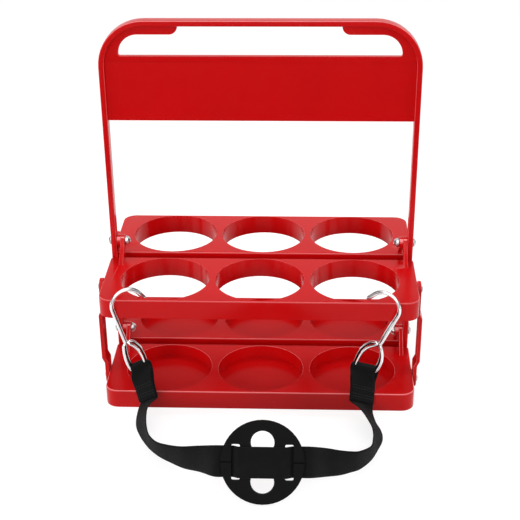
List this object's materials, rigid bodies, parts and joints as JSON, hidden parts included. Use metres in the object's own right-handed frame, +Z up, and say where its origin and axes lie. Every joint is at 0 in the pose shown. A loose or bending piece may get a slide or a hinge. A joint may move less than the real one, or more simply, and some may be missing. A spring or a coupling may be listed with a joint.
{
  "type": "drink carrier",
  "caption": "Folding bottle carrier: holed racks over cupped trays hinged to an arched handle frame, with an elastic strap and pull disc hooked on its front lip.",
  "frame": {"origin": "on the floor under the middle of the carrier, without its strap", "axes": "+Z up, +X to the right of someone who stands in front of it, -Y towards the front with the hooks and the strap"},
  "size_m": [0.3446, 0.3701, 0.3942],
  "materials": {
    "red_plastic": "glossy moulded",
    "rivet_steel": "plain",
    "hook_chrome": "polished",
    "black_webbing": "woven elastic webbing",
    "black_plastic": "satin moulded"
  },
  "bodies": {
    "frame": {"handle_frame": "red_plastic", "pivot_rivet_upper_left": "rivet_steel", "pivot_rivet_upper_right": "rivet_steel", "pivot_rivet_lower_left": "rivet_steel", "pivot_rivet_lower_right": "rivet_steel", "strap": "black_webbing", "strap_disc": "black_plastic"},
    "front_upper": {"upper_front_rack": "red_plastic", "link_rivet_upper_front_left": "rivet_steel", "link_rivet_upper_front_right": "rivet_steel", "hook_left": "hook_chrome", "hook_right": "hook_chrome", "strap_loop_left": "black_webbing", "strap_loop_right": "black_webbing"},
    "front_lower": {"lower_front_tray": "red_plastic", "link_rivet_lower_front_left": "rivet_steel", "link_rivet_lower_front_right": "rivet_steel"},
    "front_links": {"link_front_left": "red_plastic", "link_front_right": "red_plastic"},
    "rear_upper": {"upper_rear_rack": "red_plastic", "link_rivet_upper_rear_left": "rivet_steel", "link_rivet_upper_rear_right": "rivet_steel"},
    "rear_lower": {"lower_rear_tray": "red_plastic", "link_rivet_lower_rear_left": "rivet_steel", "link_rivet_lower_rear_right": "rivet_steel"},
    "rear_links": {"link_rear_left": "red_plastic", "link_rear_right": "red_plastic"}
  },
  "joints": [
    {"name": "front_fold", "type": "hinge", "parent": "frame", "child": "front_upper", "pos_m": [0, 0, 0.1485], "axis": [-1, 0, 0], "range_deg": [0, 90], "deforming": ["strap"]},
    {"name": "front_lower_fold", "type": "hinge", "parent": "frame", "child": "front_lower", "pos_m": [0, 0, 0.0385], "axis": [-1, 0, 0], "range_deg": [0, 90]},
    {"name": "front_link_turn", "type": "hinge", "parent": "front_upper", "child": "front_links", "pos_m": [0, -0.0575, 0.1221], "axis": [-1, 0, 0], "range_deg": [-90, 0]},
    {"name": "rear_fold", "type": "hinge", "parent": "frame", "child": "rear_upper", "pos_m": [0, 0, 0.1485], "axis": [1, 0, 0], "range_deg": [0, 90]},
    {"name": "rear_lower_fold", "type": "hinge", "parent": "frame", "child": "rear_lower", "pos_m": [0, 0, 0.0385], "axis": [1, 0, 0], "range_deg": [0, 90]},
    {"name": "rear_link_turn", "type": "hinge", "parent": "rear_upper", "child": "rear_links", "pos_m": [0, 0.0575, 0.1221], "axis": [1, 0, 0], "range_deg": [-90, 0]}
  ],
  "couplings": [
    {"joint": "front_lower_fold", "follows": "front_fold", "ratio": 1},
    {"joint": "front_link_turn", "follows": "front_fold", "ratio": -1},
    {"joint": "rear_lower_fold", "follows": "rear_fold", "ratio": 1},
    {"joint": "rear_link_turn", "follows": "rear_fold", "ratio": -1}
  ]
}
